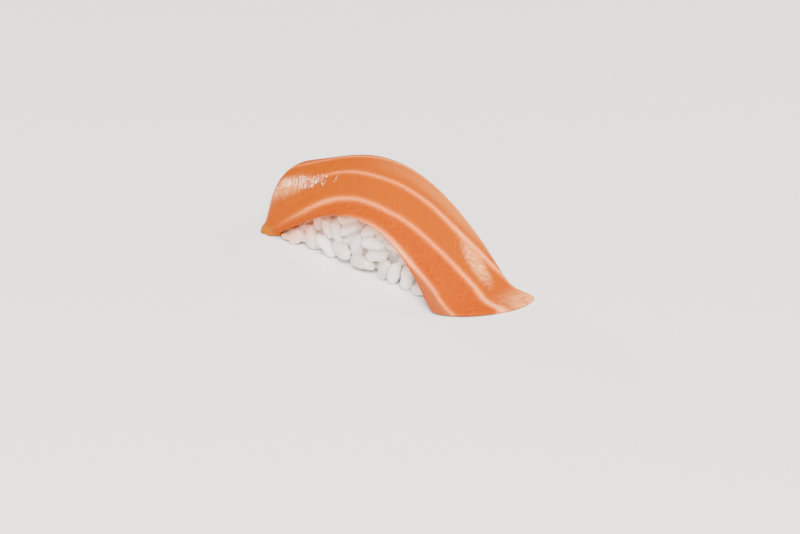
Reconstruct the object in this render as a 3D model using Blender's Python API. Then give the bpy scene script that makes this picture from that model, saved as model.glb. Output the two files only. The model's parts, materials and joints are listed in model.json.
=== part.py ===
"""Salmon nigiri: a slice of raw salmon laid over a pressed bed of sushi rice.

The slice is one closed solid. Its outer face is stretched between three rails, the near edge, the
crown and the far edge, each a path with named bends, and its underside lies a slice's thickness
below. The rice is a bare core that fills the space under the slice, with the grains that show
on both long sides fused on. Lengths are in millimetres and angles in degrees, and only
add_object() turns them into metres. +X runs along the slice to its thin tail, -Y is the side that
the grains show on from the front, and the finished piece stands centred on the origin.
"""
import math
import random

import bmesh
import bpy
import numpy as np
from mathutils import Euler, Matrix, Vector
from mathutils.bvhtree import BVHTree

MM = 0.001

# Slice
SLICE_THICKNESS = 4.6
TOE_THICKNESS = 2.0
TAIL_THICKNESS = 1.3
TOE_TAPER = 0.12        # part of the slice's length over which it thins towards the toe
TAIL_TAPER = 0.34       # the same towards the tail
EDGE_ROUNDING = 1.7
RIM_PLACE = 0.45        # depth of the rim below the outer face, as a part of the thickness
MOST_INSET = 0.95       # of the rounding, for points inside the edge, so that corners keep a thickness
EASE_ROUNDS = 8
EASE_MARGIN = 2         # rows next to the edge that easing leaves alone
LEAST_HEIGHT = 0.4      # of the outer face over the ground
TAIL_Z = 1.2            # height of the outer face at the tail's edge

# Rails: whole length, x where the tail ends, how far points lag in the middle, and the bends as
# (middle, length of path, turn)
CROWN_RAIL = {
    "length": 114.9,
    "end_x": 45.3,
    "lag": 0.0,
    "bends": ((13.8, 16.8, -73.5), (57.8, 49.4, -63.7), (107.2, 8.0, 40.7)),
}
NEAR_RAIL = {
    "length": 81.1,
    "end_x": 28.8,
    "lag": 0.0,
    "bends": ((4.6, 9.0, 38.3), (51.3, 69.4, -94.1), (81.3, 10.8, 58.6)),
}
FAR_RAIL = {
    "length": 87.0,
    "end_x": 43.4,
    "lag": 0.29,
    "bends": ((48.4, 69.4, -77.2), (76.9, 8.0, 48.4)),
}

# Sideways place of each rail: in the middle, and what is added towards the toe and the tail
CROWN_Y = (2.1, 0.5, 2.9)
NEAR_Y = (-15.2, 2.4, -1.5)
FAR_Y = (12.7, -1.7, -2.2)
TOE_BLEND = 0.35        # part of the length over which a toe value fades in
TAIL_BLEND = 0.40

# Roundness of the cross-section: 2 is an ellipse, more is squarer
NEAR_ROUNDNESS = (1.74, 0.34, -0.23)
FAR_ROUNDNESS = (2.49, 0.0, 0.0)

SLICE_STATIONS = 46
SLICE_POINTS_ACROSS = 17
SLICE_WIDTH = 40.0       # about, along the outer face

# Rice core: the rows and columns of the slice's underside that it fills, and its long walls
CORE_GAP = 0.5          # clear space between the slice and the core
CORE_START = 0.10
CORE_END = 0.87
NEAR_WALL_Y = -8.2
FAR_WALL_Y = 6.8
CORE_POINTS_ACROSS = 9
BED_START_X = -34.0     # the stretch of both walls that has grains
BED_END_X = 24.0

# Rice grains on the long walls
GRAIN_LENGTH = 7.4
GRAIN_WIDTH = 3.4
GRAIN_DEPTH = 2.9
GRAIN_SIDES = 5
GRAIN_RINGS = (-0.74, 0.0, 0.74)
GRAIN_BLUNTNESS = 3.0
GRAIN_FULLNESS = 1.1    # makes up for the volume that flat sides cut off
GRAIN_SPREAD = 0.12     # grains vary in size by this part either way
GRAIN_LEAN = 22.0       # most that a grain leans out of its wall
GRAIN_CLEAR = 0.35      # clear space to the slice
GRAIN_OFF_FLOOR = 0.15
GRAIN_MOVES = (0.0, 0.5, 1.0)   # how far a grain may be pushed inwards to clear the slice
GRAIN_SEED = 41
# each layer: tries on a wall, how far the grains' middles stand out, closest spines in grain widths
GRAIN_LAYERS = ((4000, 0.6, 0.64), (3000, -0.5, 0.46))

# Corners of a grid square, counter-clockwise seen from outside
TOP_SQUARE = ((0, 0), (1, 0), (1, 1), (0, 1))
BOTTOM_SQUARE = ((0, 0), (0, 1), (1, 1), (1, 0))

SALMON_COLOUR = (0.86, 0.26, 0.05, 1.0)
RICE_COLOUR = (0.80, 0.76, 0.70, 1.0)


def smooth(value):
    """Ease from 0 to 1."""
    value = np.clip(value, 0.0, 1.0)
    return value * value * (3.0 - 2.0 * value)


def rail_points(rail, along):
    """x and z of a rail at fractions of its length. It ends level, at the tail's edge."""
    path = np.linspace(0.0, rail["length"], 241)
    heading = np.full(path.shape, -sum(turn for _, _, turn in rail["bends"]))
    for middle, span, turn in rail["bends"]:
        heading = heading + turn * smooth((path - middle) / span + 0.5)
    heading = np.radians((heading[1:] + heading[:-1]) / 2.0)
    step = path[1]
    x = np.concatenate([[0.0], np.cumsum(np.cos(heading) * step)])
    z = np.concatenate([[0.0], np.cumsum(np.sin(heading) * step)])
    x += rail["end_x"] - x[-1]
    z += TAIL_Z - z[-1]
    reached = (along - rail["lag"] * along * (1.0 - along)) * rail["length"]
    return np.interp(reached, path, x), np.interp(reached, path, z)


def blended(values, along):
    """A value in the middle of the slice, with what is added towards the toe and the tail."""
    middle, at_toe, at_tail = values
    toe = smooth((TOE_BLEND - along) / TOE_BLEND)
    tail = smooth((along - 1.0 + TAIL_BLEND) / TAIL_BLEND)
    return middle + at_toe * toe + at_tail * tail


def outer_face(along, across):
    """Points of the slice's outer face on a grid, near edge to far edge at each station."""
    crown_x, crown_z = rail_points(CROWN_RAIL, along)
    near_x, near_z = rail_points(NEAR_RAIL, along)
    far_x, far_z = rail_points(FAR_RAIL, along)
    crown_y, near_y, far_y = blended(CROWN_Y, along), blended(NEAR_Y, along), blended(FAR_Y, along)
    near_round, far_round = blended(NEAR_ROUNDNESS, along), blended(FAR_ROUNDNESS, along)
    sweep = np.linspace(0.0, math.pi, 193)
    near_half = sweep <= math.pi / 2.0
    face = np.zeros((len(along), len(across), 3))
    for i in range(len(along)):
        power = 2.0 / np.where(near_half, near_round[i], far_round[i])
        out = np.abs(np.cos(sweep)) ** power
        rise = np.abs(np.sin(sweep)) ** power
        edge_x = np.where(near_half, near_x[i], far_x[i])
        edge_y = np.where(near_half, near_y[i], far_y[i])
        edge_z = np.where(near_half, near_z[i], far_z[i])
        section = np.stack([
            edge_x + (crown_x[i] - edge_x) * rise,
            crown_y[i] + (edge_y - crown_y[i]) * out,
            edge_z + (crown_z[i] - edge_z) * rise,
        ], axis=1)
        reach = np.concatenate([[0.0], np.cumsum(np.linalg.norm(np.diff(section, axis=0), axis=1))])
        for axis in range(3):
            face[i, :, axis] = np.interp(across * reach[-1], reach, section[:, axis])
    return face


def face_normals(face):
    """Outward normals of a grid of points."""
    normal = np.cross(np.gradient(face, axis=0), np.gradient(face, axis=1))
    return normal / np.linalg.norm(normal, axis=2, keepdims=True)


def eased(grid):
    """A grid with its inner points drawn towards their neighbours, so that no tight bend folds."""
    grid = grid.copy()
    keep = EASE_MARGIN
    for _ in range(EASE_ROUNDS):
        around = (grid[:-2, 1:-1] + grid[2:, 1:-1] + grid[1:-1, :-2] + grid[1:-1, 2:]) / 4.0
        inner = around[keep - 1:1 - keep, keep - 1:1 - keep]
        grid[keep:-keep, keep:-keep] = 0.5 * (grid[keep:-keep, keep:-keep] + inner)
    return grid


def slice_faces(along, across):
    """The slice's outer face and underside on one grid, rounded together at the edges."""
    face = outer_face(along, across)
    normal = face_normals(face)
    thick = SLICE_THICKNESS - (SLICE_THICKNESS - TOE_THICKNESS) * smooth((TOE_TAPER - along) / TOE_TAPER)
    thick = thick - (SLICE_THICKNESS - TAIL_THICKNESS) * smooth((along - 1.0 + TAIL_TAPER) / TAIL_TAPER)
    thick = np.repeat(thick[:, None], len(across), axis=1)
    length = np.linalg.norm(np.diff(face, axis=0), axis=2).sum(axis=0)[None, :]
    width = np.linalg.norm(np.diff(face, axis=1), axis=2).sum(axis=1)[:, None]
    to_end = np.minimum(along, 1.0 - along)[:, None] * length
    to_edge = np.minimum(across, 1.0 - across)[None, :] * width
    end_inset = np.clip(1.0 - to_end / EDGE_ROUNDING, 0.0, 1.0)
    edge_inset = np.clip(1.0 - to_edge / EDGE_ROUNDING, 0.0, 1.0)
    inset = np.clip(np.hypot(end_inset, edge_inset), 0.0, 1.0)
    inset[1:-1, 1:-1] = np.minimum(inset[1:-1, 1:-1], MOST_INSET)
    rounding = 1.0 - np.sqrt(1.0 - inset ** 2)
    rim = RIM_PLACE * thick
    outer = face - normal * (rim * rounding)[:, :, None]
    under = face - normal * (thick - (thick - rim) * rounding)[:, :, None]
    under = eased(under)
    outer[:, :, 2] = np.maximum(outer[:, :, 2], LEAST_HEIGHT)
    under[:, :, 2] = np.maximum(under[:, :, 2], 0.0)
    return outer, under


def crowded_at_ends(count, span):
    """Fractions from 0 to 1, evenly spread but for two close to each end, where an edge rounds."""
    second = EDGE_ROUNDING / span
    first = 0.3 * second
    between = np.linspace(0.0, 1.0, count - 4)[1:-1]
    return np.concatenate([[0.0, first, second], between, [1.0 - second, 1.0 - first, 1.0]])


def add_object(name, points, faces, colour, roughness):
    """A named mesh object from points in millimetres, with its own material."""
    mesh = bpy.data.meshes.new(name)
    mesh.from_pydata((np.asarray(points) * MM).tolist(), [], faces)
    mesh.validate()
    material = bpy.data.materials.new(name)
    material.use_nodes = True
    shader = material.node_tree.nodes["Principled BSDF"]
    shader.inputs["Base Color"].default_value = colour
    shader.inputs["Roughness"].default_value = roughness
    shader.inputs["Metallic"].default_value = 0.0
    mesh.materials.append(material)
    shape = bpy.data.objects.new(name, mesh)
    bpy.context.scene.collection.objects.link(shape)
    return shape


def closed_shell(upper, lower, share_edges):
    """Points and faces of the closed body between two grids. The grids may share their edges."""
    rows, columns = upper.shape[:2]
    points = [tuple(p) for p in upper.reshape(-1, 3)]
    top = np.arange(rows * columns).reshape(rows, columns)
    bottom = np.zeros((rows, columns), int)
    for i in range(rows):
        for j in range(columns):
            if share_edges and (i in (0, rows - 1) or j in (0, columns - 1)):
                bottom[i, j] = top[i, j]
            else:
                bottom[i, j] = len(points)
                points.append(tuple(lower[i, j]))
    faces = []
    for i in range(rows - 1):
        for j in range(columns - 1):
            # both triangles of a corner's square reach an inner point
            turned = (i < rows // 2) != (j < columns // 2)
            for grid, square in ((top, TOP_SQUARE), (bottom, BOTTOM_SQUARE)):
                a, b, c, d = (int(grid[i + di, j + dj]) for di, dj in square)
                faces += [(a, b, d), (b, c, d)] if turned else [(a, b, c), (a, c, d)]
    if not share_edges:
        ring = [(i, 0) for i in range(rows)]
        ring += [(rows - 1, j) for j in range(1, columns)]
        ring += [(i, columns - 1) for i in range(rows - 2, -1, -1)]
        ring += [(0, j) for j in range(columns - 2, 0, -1)]
        for k, here in enumerate(ring):
            after = ring[(k + 1) % len(ring)]
            a, b, c, d = int(top[after]), int(top[here]), int(bottom[here]), int(bottom[after])
            faces += [(a, b, c), (a, c, d)]
    return points, faces


def slice_grid():
    """Fractions along and across the slice at which its solid has points."""
    along = crowded_at_ends(SLICE_STATIONS, CROWN_RAIL["length"])
    across = crowded_at_ends(SLICE_POINTS_ACROSS, SLICE_WIDTH)
    return along, across


def make_salmon():
    """The draped slice."""
    outer, under = slice_faces(*slice_grid())
    points, faces = closed_shell(outer, under, share_edges=True)
    return add_object("salmon", points, faces, SALMON_COLOUR, 0.3)


def make_core():
    """The bare bed of rice: a gap below the slice on top, upright walls and a flat foot."""
    along, across = slice_grid()
    under = slice_faces(along, across)[1]
    below = under - CORE_GAP * face_normals(under)
    rows = below[(along >= CORE_START) & (along <= CORE_END)]
    from_wall_to_wall = np.linspace(NEAR_WALL_Y, FAR_WALL_Y, CORE_POINTS_ACROSS)
    top = np.array([
        [np.interp(from_wall_to_wall, row[:, 1], row[:, axis]) for axis in range(3)] for row in rows
    ]).transpose(0, 2, 1)
    foot = top.copy()
    foot[:, :, 2] = 0.0
    points, faces = closed_shell(top, foot, share_edges=False)
    return add_object("rice", points, faces, RICE_COLOUR, 0.45)


def grain_shape(length, width, depth):
    """Points and faces of one plump grain along X, from pole to pole."""
    points = [(-length / 2.0, 0.0, 0.0)]
    for ring, place in enumerate(GRAIN_RINGS):
        girth = GRAIN_FULLNESS * math.sqrt(1.0 - abs(place) ** GRAIN_BLUNTNESS)
        for side in range(GRAIN_SIDES):
            turn = 2.0 * math.pi * (side + 0.5 * (ring % 2)) / GRAIN_SIDES
            points.append((
                place * length / 2.0,
                girth * width / 2.0 * math.cos(turn),
                girth * depth / 2.0 * math.sin(turn),
            ))
    points.append((length / 2.0, 0.0, 0.0))
    last = len(points) - 1
    faces = []
    for side in range(GRAIN_SIDES):
        after = (side + 1) % GRAIN_SIDES
        faces.append((0, 1 + after, 1 + side))
        for ring in range(len(GRAIN_RINGS) - 1):
            a = 1 + ring * GRAIN_SIDES
            b = a + GRAIN_SIDES
            faces += [(a + side, a + after, b + side), (b + side, a + after, b + after)]
        faces.append((last, last - GRAIN_SIDES + side, last - GRAIN_SIDES + after))
    return np.array(points), faces


def spines_apart(start_a, end_a, start_b, end_b):
    """Shortest distance between two short straight lines, from points along both."""
    steps = np.linspace(0.0, 1.0, 7)[:, None]
    on_a = start_a + (end_a - start_a) * steps
    on_b = start_b + (end_b - start_b) * steps
    return np.linalg.norm(on_a[:, None] - on_b[None], axis=2).min()


def clears(points, body):
    """Whether points in millimetres stay outside a body and clear of it."""
    for point in points:
        spot = Vector(point * MM)
        nearest, normal, _, distance = body.find_nearest(spot)
        if distance < GRAIN_CLEAR * MM or (spot - nearest).dot(normal) < 0.0:
            return False
    return True


def grain_places(salmon):
    """Rotation, middle and size of each grain: thrown at both walls, and kept where there is room."""
    body = BVHTree.FromObject(salmon, bpy.context.evaluated_depsgraph_get())
    kept = []
    for wall, out, rail, first_seed in (
        (NEAR_WALL_Y, -1.0, NEAR_RAIL, GRAIN_SEED),
        (FAR_WALL_Y, 1.0, FAR_RAIL, GRAIN_SEED + 50000),
    ):
        edge_x, edge_z = rail_points(rail, np.linspace(0.0, 1.0, 81))
        spines = []
        for layer, (tries, stand_out, packing) in enumerate(GRAIN_LAYERS):
            for index in range(tries):
                draw = random.Random(first_seed + 10000 * layer + index)
                size = 1.0 + draw.uniform(-GRAIN_SPREAD, GRAIN_SPREAD)
                spin = math.radians(draw.uniform(0.0, 180.0))
                lean = math.radians(draw.uniform(-GRAIN_LEAN, GRAIN_LEAN))
                roll = math.radians(draw.uniform(0.0, 360.0))
                turn = np.array(Euler((roll, -spin, lean), "XYZ").to_matrix())
                x = draw.uniform(BED_START_X, BED_END_X)
                z = draw.uniform(0.0, 1.0) * np.interp(x, edge_x, edge_z)
                length, width, depth = GRAIN_LENGTH * size, GRAIN_WIDTH * size, GRAIN_DEPTH * size
                points = grain_shape(length, width, depth)[0] @ turn.T
                z = max(z, GRAIN_OFF_FLOOR - points[:, 2].min())
                spine = turn[:, 0] * (length - width) / 2.0
                for move in GRAIN_MOVES:
                    middle = np.array([x, wall + out * (stand_out - move), z])
                    if clears(points + middle, body):
                        break
                else:
                    continue
                apart = packing * GRAIN_WIDTH
                if any(spines_apart(middle - spine, middle + spine, a, b) < apart for a, b in spines):
                    continue
                spines.append((middle - spine, middle + spine))
                kept.append((turn, middle, (length, width, depth)))
    return kept


def fuse_grains(core, places):
    """Join the grains to the core and keep the one body that they make."""
    grains = bpy.data.collections.new("grains")
    bpy.context.scene.collection.children.link(grains)
    for turn, middle, sizes in places:
        points, faces = grain_shape(*sizes)
        grain = add_object("grain", points @ turn.T + middle, faces, RICE_COLOUR, 0.45)
        bpy.context.scene.collection.objects.unlink(grain)
        grains.objects.link(grain)
    union = core.modifiers.new("grains", "BOOLEAN")
    union.operation = "UNION"
    union.operand_type = "COLLECTION"
    union.collection = grains
    union.solver = "EXACT"
    fused = bpy.data.meshes.new_from_object(core.evaluated_get(bpy.context.evaluated_depsgraph_get()))
    core.modifiers.clear()
    core.data = fused
    for grain in list(grains.objects):
        bpy.data.objects.remove(grain, do_unlink=True)
    bpy.data.collections.remove(grains)
    keep_largest_body(core.data)


def keep_largest_body(mesh):
    """Drop scraps and the walls of sealed hollows."""
    shape = bmesh.new()
    shape.from_mesh(mesh)
    bmesh.ops.triangulate(shape, faces=shape.faces[:])
    shape.faces.ensure_lookup_table()
    seen = set()
    bodies = []
    for first in shape.faces:
        if first in seen:
            continue
        body, waiting = [], [first]
        seen.add(first)
        while waiting:
            face = waiting.pop()
            body.append(face)
            for edge in face.edges:
                for other in edge.link_faces:
                    if other not in seen:
                        seen.add(other)
                        waiting.append(other)
        bodies.append(body)
    bodies.sort(key=len)
    scraps = [face for body in bodies[:-1] for face in body]
    bmesh.ops.delete(shape, geom=scraps, context="FACES")
    shape.to_mesh(mesh)
    shape.free()


def stand_on_origin(shapes):
    """Move objects together so that the middle of their box's bottom is the origin."""
    corners = np.array([vertex.co for shape in shapes for vertex in shape.data.vertices])
    low, high = corners.min(axis=0), corners.max(axis=0)
    shift = Vector((-(low[0] + high[0]) / 2.0, -(low[1] + high[1]) / 2.0, -low[2]))
    for shape in shapes:
        shape.data.transform(Matrix.Translation(shift))


def main():
    for old in list(bpy.data.objects):
        bpy.data.objects.remove(old, do_unlink=True)
    salmon = make_salmon()
    rice = make_core()
    bpy.context.view_layer.update()
    places = grain_places(salmon)
    fuse_grains(rice, places)
    stand_on_origin([salmon, rice])


main()
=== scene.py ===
"""Looks of a salmon nigiri: a wet slice of raw salmon with fat lines, over sticky grains of rice.

The slice repeats the solid's own rails at a finer step, with its fat lines in relief and its muscle
fibres in the material. The rice is thrown at the bed by the solid's own rule, as whole smooth
grains, and then drawn together where they touch, as starch does. Lengths are in millimetres until a
mesh is made.
"""

import json
import math
import random

import bpy
import numpy as np
from mathutils import Euler, Matrix, Vector
from mathutils.bvhtree import BVHTree

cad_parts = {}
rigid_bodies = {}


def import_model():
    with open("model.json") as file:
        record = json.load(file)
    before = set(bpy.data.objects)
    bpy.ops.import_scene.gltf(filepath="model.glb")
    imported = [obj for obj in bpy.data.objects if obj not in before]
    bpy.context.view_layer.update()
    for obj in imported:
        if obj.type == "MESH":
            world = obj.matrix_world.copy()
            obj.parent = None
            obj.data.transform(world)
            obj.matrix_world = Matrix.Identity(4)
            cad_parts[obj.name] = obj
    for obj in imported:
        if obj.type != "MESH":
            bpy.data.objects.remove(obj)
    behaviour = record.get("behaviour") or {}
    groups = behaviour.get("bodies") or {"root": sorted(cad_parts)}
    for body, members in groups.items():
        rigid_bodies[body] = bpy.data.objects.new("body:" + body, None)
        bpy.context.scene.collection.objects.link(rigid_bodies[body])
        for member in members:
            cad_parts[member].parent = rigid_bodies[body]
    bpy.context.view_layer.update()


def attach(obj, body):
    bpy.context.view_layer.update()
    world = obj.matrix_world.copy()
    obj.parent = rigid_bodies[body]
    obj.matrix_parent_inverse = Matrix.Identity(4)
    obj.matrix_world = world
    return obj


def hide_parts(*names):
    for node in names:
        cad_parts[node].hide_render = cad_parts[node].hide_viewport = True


MM = 0.001

# Slice, as in the solid
SLICE_THICKNESS = 4.6
TOE_THICKNESS = 2.0
TAIL_THICKNESS = 1.3
TOE_TAPER = 0.12
TAIL_TAPER = 0.34
EDGE_ROUNDING = 1.7
RIM_PLACE = 0.45
MOST_INSET = 0.95
EASE_ROUNDS = 8
EASE_MARGIN = 2
LEAST_HEIGHT = 0.4
TAIL_Z = 1.2
CROWN_RAIL = {
    "length": 114.9,
    "end_x": 45.3,
    "lag": 0.0,
    "bends": ((13.8, 16.8, -73.5), (57.8, 49.4, -63.7), (107.2, 8.0, 40.7)),
}
NEAR_RAIL = {
    "length": 81.1,
    "end_x": 28.8,
    "lag": 0.0,
    "bends": ((4.6, 9.0, 38.3), (51.3, 69.4, -94.1), (81.3, 10.8, 58.6)),
}
FAR_RAIL = {
    "length": 87.0,
    "end_x": 43.4,
    "lag": 0.29,
    "bends": ((48.4, 69.4, -77.2), (76.9, 8.0, 48.4)),
}
CROWN_Y = (2.1, 0.5, 2.9)
NEAR_Y = (-15.2, 2.4, -1.5)
FAR_Y = (12.7, -1.7, -2.2)
TOE_BLEND = 0.35
TAIL_BLEND = 0.40
NEAR_ROUNDNESS = (1.74, 0.34, -0.23)
FAR_ROUNDNESS = (2.49, 0.0, 0.0)
SLICE_STATIONS = 46
SLICE_POINTS_ACROSS = 17
SLICE_WIDTH = 40.0
FIRST_POINT = 0.3        # the first point's share of the way to the second
RAIL_POINTS = 241
SECTION_POINTS = 193

# The finer grid that shows
FINE_STATIONS = 270
FINE_POINTS_ACROSS = 126
FINE_EDGE_POINTS = 6
FINE_EASE_ROUNDS = 6
FINE_EASE_MARGIN = 1
UNDER_LEAST_HEIGHT = 0.05

# Toe's near corner, which stands on the floor
TOE_FOOT_SIDE = 1.5
TOE_FOOT_END = 0.085
TOE_FOOT_FADE = 0.03
TOE_TUCK = 2.0
TOE_TUCK_START = 0.035
TOE_TUCK_FADE = 0.03
TOE_TUCK_WIDTH = 4.0
TOE_TIP_HEIGHT = 1.9
TOE_TIP_END = 0.03
TOE_TIP_WIDTH = 4.5
TOE_TIP_OUT = 0.6
BEYOND_WIDTH = 1.5       # tip and tucked underside fade from half their width to this many times it

# Fat lines: fraction across the slice at fractions along it, and half their width there
LINE_STATIONS = (0.0, 0.15, 0.30, 0.40, 0.50, 0.60, 0.70, 0.80, 0.90, 1.0)
FAT_LINES = (
    (
        (0.43, 0.45, 0.505, 0.535, 0.62, 0.745, 0.87, 0.93, 0.93, 0.92),
        (0.0, 0.2, 0.35, 0.45, 0.6, 0.7, 0.6, 0.0, -0.5, -0.5),
    ),
    (
        (0.22, 0.245, 0.30, 0.34, 0.38, 0.485, 0.63, 0.79, 0.93, 1.04),
        (-1.0, -0.6, 0.10, 0.4, 0.45, 0.55, 0.75, 1.0, 0.7, 0.2),
    ),
    (
        (0.045, 0.05, 0.07, 0.11, 0.155, 0.195, 0.308, 0.448, 0.56, 0.60),
        (-1.2, -0.2, 0.5, 0.7, 0.55, 0.5, 0.55, 0.6, 0.8, 1.4),
    ),
    (
        (0.0, 0.0, 0.0, 0.0, 0.01, 0.02, 0.035, 0.065, 0.15, 0.175),
        (-1.5, -1.5, -1.5, -1.0, 0.2, 0.8, 1.0, 1.0, 0.7, 0.6),
    ),
)
HIGH_LINE = 1            # which of the lines above
LOW_LINE = 2
NEAR_LINE = 3
LINE_EASE_ROUNDS = 60
FAT_RELIEF = 0.08        # fat stands a little proud of the flesh
FAT_RELIEF_FADE = 0.8
FAR_FROM_FAT = 9.0
FAT_RAGGEDNESS = 1.2

# Muscle fibres: degrees from the slice's length, below and above the low fat line, and by the tail
FIBRE_TURN_LOW = 36.0
FIBRE_TURN_HIGH = 100.0
FIBRE_TURN_TAIL = 140.0
FIBRES_TURN_ALONG = (0.52, 0.18)     # fraction where they start to turn, and over how much more
FIBRE_SIZE = (2.6, 0.55)
FIBRE_WAVER = 3.0
FIBRE_RELIEF = 0.03
FIBRE_RANGE = (0.48, 0.72)           # ranges are of the noise that makes the fibres or the film
FIBRE_PALENESS = 0.14
DARK_FIBRE_RANGE = (0.40, 0.30)
DARK_FIBRE_DEPTH = 0.35
STREAK_RANGE = (0.36, 0.60)
STREAK_LEAST = 0.45
FLESH_PATCHES = 0.6

# Where the film of water is thickest: fractions along and across, reach along and across, and depth
WET_PLACES = (
    (0.82, 0.69, 0.085, 0.10, 1.0),
    (0.25, 0.25, 0.18, 0.10, 0.9),
)
PLACE_REACH = 1.3        # a place fades from 0.3 to 1.3 times its reach
DRY_FILM = 0.12
FILM_SIZE = (2.2, 0.85)
FILM_SIZE_TAIL = (3.0, 0.6)
FILM_RELIEF = 0.16
FILM_RANGE = (0.41, 0.59)
FILM_LEAST = 0.15

# Painted highlights: where the flesh is made pale and streaked, as its shine would be, in the same
# measures
PAINTED_HIGHLIGHT_PLACES = (
    (0.83, 0.70, 0.07, 0.09, 0.8),
    (0.985, 0.64, 0.02, 0.04, 0.5),
    (0.19, 0.28, 0.10, 0.08, 0.7),
)

# Other places on the slice: fraction where each starts, and over how much more it grows to the full
# painted glow at the tail's far corner, where the flesh is thin
TAIL_GLOW_ALONG = (0.91, 0.08)
TAIL_GLOW_ACROSS = (0.55, 0.3)
# painted glow along the thin far edge
THIN_ALONG = (0.36, 0.34)
THIN_PAST_LINE = (0.02, 0.15)
THIN_RIM = (0.86, 0.12)
THIN_RIM_LOSS = 0.7
THIN_DEPTH = 0.45
# painted shade along the near edge by the tail, low by the floor
TAIL_EDGE_SHADE_ALONG = (0.76, 0.12)
TAIL_EDGE_SHADE_LINE_FADE = 0.06
TAIL_EDGE_SHADE_LINE_MIDDLE = 0.4
TAIL_EDGE_SHADE_DEPTH = 0.6
# painted shade: the flesh is darker where it comes down to the floor
FOOT_SHADE_HEIGHT = 1.0
FOOT_SHADE_DEPTH = 0.5
CUT_WIDTH = 3.6
CUT_FADE = 1.6
CUT_DEPTH = 0.8

# Rice core and grains, as in the solid
CORE_GAP = 0.5
CORE_START = 0.10
CORE_END = 0.87
NEAR_WALL_Y = -8.2
FAR_WALL_Y = 6.8
CORE_POINTS_ACROSS = 9
BED_START_X = -34.0
BED_END_X = 24.0
GRAIN_SIDES = 5
GRAIN_RINGS = (-0.74, 0.0, 0.74)
GRAIN_BLUNTNESS = 3.0
GRAIN_FULLNESS = 1.1
GRAIN_SPREAD = 0.12
GRAIN_LEAN = 22.0
GRAIN_OFF_FLOOR = 0.15
GRAIN_MOVES = (0.0, 0.5, 1.0)
GRAIN_SEED = 41
FAR_SEED_STEP = 50000
LAYER_SEED_STEP = 10000
EDGE_READINGS = 81
SPINE_READINGS = 7

# Grains as they show: plumper, and further apart, so that each can be made out
PLUMP_START_X = -37.5
PLUMP_CLEAR = 0.2
PLUMP_LENGTH = 8.5
PLUMP_WIDTH = 4.3
PLUMP_DEPTH = 3.6
PLUMP_LAYERS = (         # tries, how far it stands out, packing, first and last x, size
    (4000, 0.45, 0.66, PLUMP_START_X, BED_END_X, 1.0),
    (3000, -0.7, 0.58, PLUMP_START_X, BED_END_X, 1.0),
    (1500, 0.1, 0.5, -40.5, -32.0, 0.74),
    (3000, 0.9, 0.34, -41.5, -29.0, 0.55),
)
FOOT_FLARE = 2.3         # grains at the foot of the near side stand out further
FLARE_HEIGHT = 9.0
END_TRIES = 600
END_SEED = 7000
END_STAND_OUT = 0.8
END_SPIN = 60.0
FLOOR_TRIES = 3000
FLOOR_SEED = 900
FLOOR_PACKING = 0.62
FLOOR_TURNS = (180.0, 8.0, 180.0)
FLOOR_START_GAP = 1.0
FLOOR_WALL_GAP = 1.2
CORE_FOOT = 1.3          # the core stops here, and whole grains reach the floor
CORE_LEAST_DEPTH = 0.1
GRAIN_LUMPS = 1.3
STARCH_VOXEL = 0.29
STARCH_SOFTENING = 4
CREVICE_ROUNDS = 40
TONE_SEED = 5
RICE_CLOUDS = (0.35, 0.65)
RICE_CLOUDINESS = 0.3
CREASE_SHADE_RANGE = (-0.02, 0.22)
# painted bounce light from the fish: reach in millimetres, and depth
FISH_BOUNCE_REACH = 8.5
FISH_BOUNCE_DEPTH = 0.95

# Colours, as sRGB hex
FLESH_LOW = "AC4500"
FLESH_HIGH = "AE4E00"
FIBRE_PALE = "CC681C"
FIBRE_DARK = "8E3200"
FAT_HALO = "D26824"
FAT_EDGE = "F0803A"
FAT_HEART = "F8AC7C"
# painted shade by the floor
FOOT_SHADE = "8C3000"
CUT_OCHRE = "B06410"
# painted shade along the near edge by the tail
TAIL_EDGE_SHADE = "96502C"
# painted highlight
STREAKED_HIGHLIGHT = "F4A260"
# painted glow
PAINTED_THIN_GLOW = "F09448"
RICE_CLEAR = "D6C4B6"
RICE_MILKY = "FAF8F4"
# painted shade in the creases between grains
RICE_CREASE_SHADE = "CDBDB0"
# painted bounce light from the fish
RICE_FISH_BOUNCE = "F2AE88"
WHITE = "FFFFFF"

# Tints of a fat line: distance in millimetres from its edge where each starts, where it is full, and
# how much there is of it then
FAT_TINTS = (
    (FAT_HALO, 1.5, 0.0, 0.45),
    (FAT_EDGE, 0.55, -0.45, 0.95),
    (FAT_HEART, -0.3, -1.0, 0.8),
)

# Studio: each light's degrees round from the near side and up, metres away, width and height in
# metres, watts and colour
LIGHTS = (
    ("key_softbox", 40.0, 50.0, 2.2, 1.3, 1.3, 145.0, WHITE),
    ("left_softbox", -96.0, 11.0, 1.5, 0.35, 0.13, 13.0, "FFE8D0"),
    ("back_softbox", 150.0, 39.0, 1.5, 0.45, 0.22, 12.0, "FFBC84"),
)
WORLD_STRENGTH = 0.3
FLOOR_SIZE = 6.0

# Camera, fitted to the photograph: degrees, and places in the fit's own unit
CAMERA_LENS = 131.5
CAMERA_CLIP_END = 10.0
CAMERA_TURN = 41.118
CAMERA_RISE = 27.824
CAMERA_ROLL = 0.591
CAMERA_RIGHT = 0.545
CAMERA_UP = -0.108
CAMERA_BACK = 8.058
FIT_MIDDLE = (0.53, 0.2, 0.0)
FIT_UNIT = 108.0


def smooth(value):
    """Ease from 0 to 1."""
    value = np.clip(value, 0.0, 1.0)
    return value * value * (3.0 - 2.0 * value)


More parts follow.
